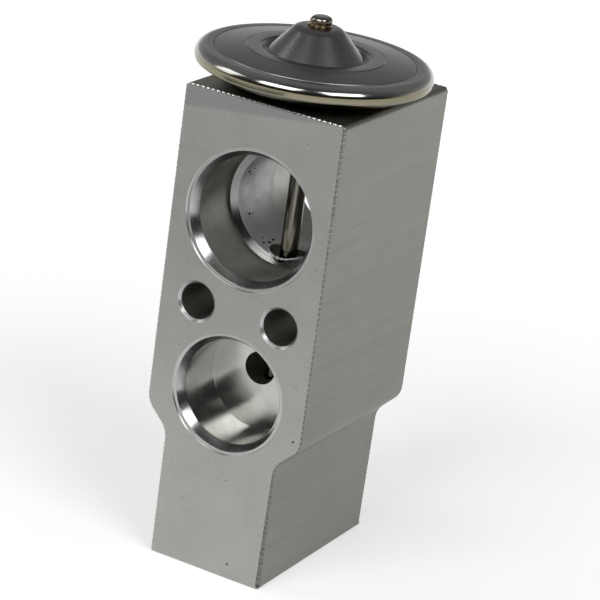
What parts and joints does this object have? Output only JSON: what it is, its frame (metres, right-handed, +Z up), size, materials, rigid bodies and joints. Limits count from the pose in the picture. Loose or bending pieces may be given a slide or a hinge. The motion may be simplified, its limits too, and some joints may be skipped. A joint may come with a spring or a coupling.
{
  "type": "thermostatic expansion valve",
  "caption": "Block-type thermostatic expansion valve: shouldered metal block with suction passage, liquid and outlet ports, sensing rod and a domed diaphragm head.",
  "frame": {"origin": "on the valve axis, in the plane of the foot's bottom face, at the mouth of the hole through which the adjusting screw is reached", "axes": "+Z up along the valve axis to the head; -Y out of the face with the outlet port; +X to the right of that face"},
  "size_m": [0.0426, 0.0439, 0.1019],
  "materials": {
    "block_aluminium": "fine milled faces, drawn sides, bored ports",
    "head_steel": "satin pressed stainless steel",
    "housing_steel": "nickel-tinted pressed steel",
    "rod_steel": "polished drawn steel",
    "ball_steel": "polished ball",
    "spring_steel": "drawn spring wire and sheet",
    "carrier_brass": "turned brass",
    "seal_rubber": "moulded rubber"
  },
  "bodies": {
    "housing": {"valve_block": "block_aluminium", "head_housing": "housing_steel", "head_cover": "head_steel", "charge_plug": "housing_steel", "head_seal": "seal_rubber", "rod_seal": "seal_rubber", "rod_seal_retainer": "spring_steel", "diaphragm": "spring_steel", "superheat_spring": "spring_steel"},
    "valve_pin": {"sensing_rod": "rod_steel", "diaphragm_pad": "housing_steel", "valve_ball": "ball_steel", "ball_carrier": "carrier_brass", "antivibration_clip": "spring_steel"},
    "screw_carriage": {"screw_seal": "seal_rubber"},
    "screw": {"adjusting_screw": "carrier_brass"}
  },
  "joints": [
    {"name": "valve_stroke", "type": "slide", "parent": "housing", "child": "valve_pin", "axis": [0, 0, -1], "range_m": [0, 0.0008], "stiffness_N_per_m": 8000, "springref_m": -0.0005, "deforming": ["superheat_spring", "diaphragm"]},
    {"name": "screw_advance", "type": "slide", "parent": "housing", "child": "screw_carriage", "axis": [0, 0, 1], "range_m": [-0.001, 0.001], "deforming": ["superheat_spring"]},
    {"name": "screw_turn", "type": "hinge", "parent": "screw_carriage", "child": "screw", "pos_m": [0, 0, 0.0015], "axis": [0, 0, 1], "range_deg": [-360, 360]}
  ],
  "couplings": [
    {"joint": "screw_advance", "follows": "screw_turn", "m_per_rad": 0.00015915}
  ]
}
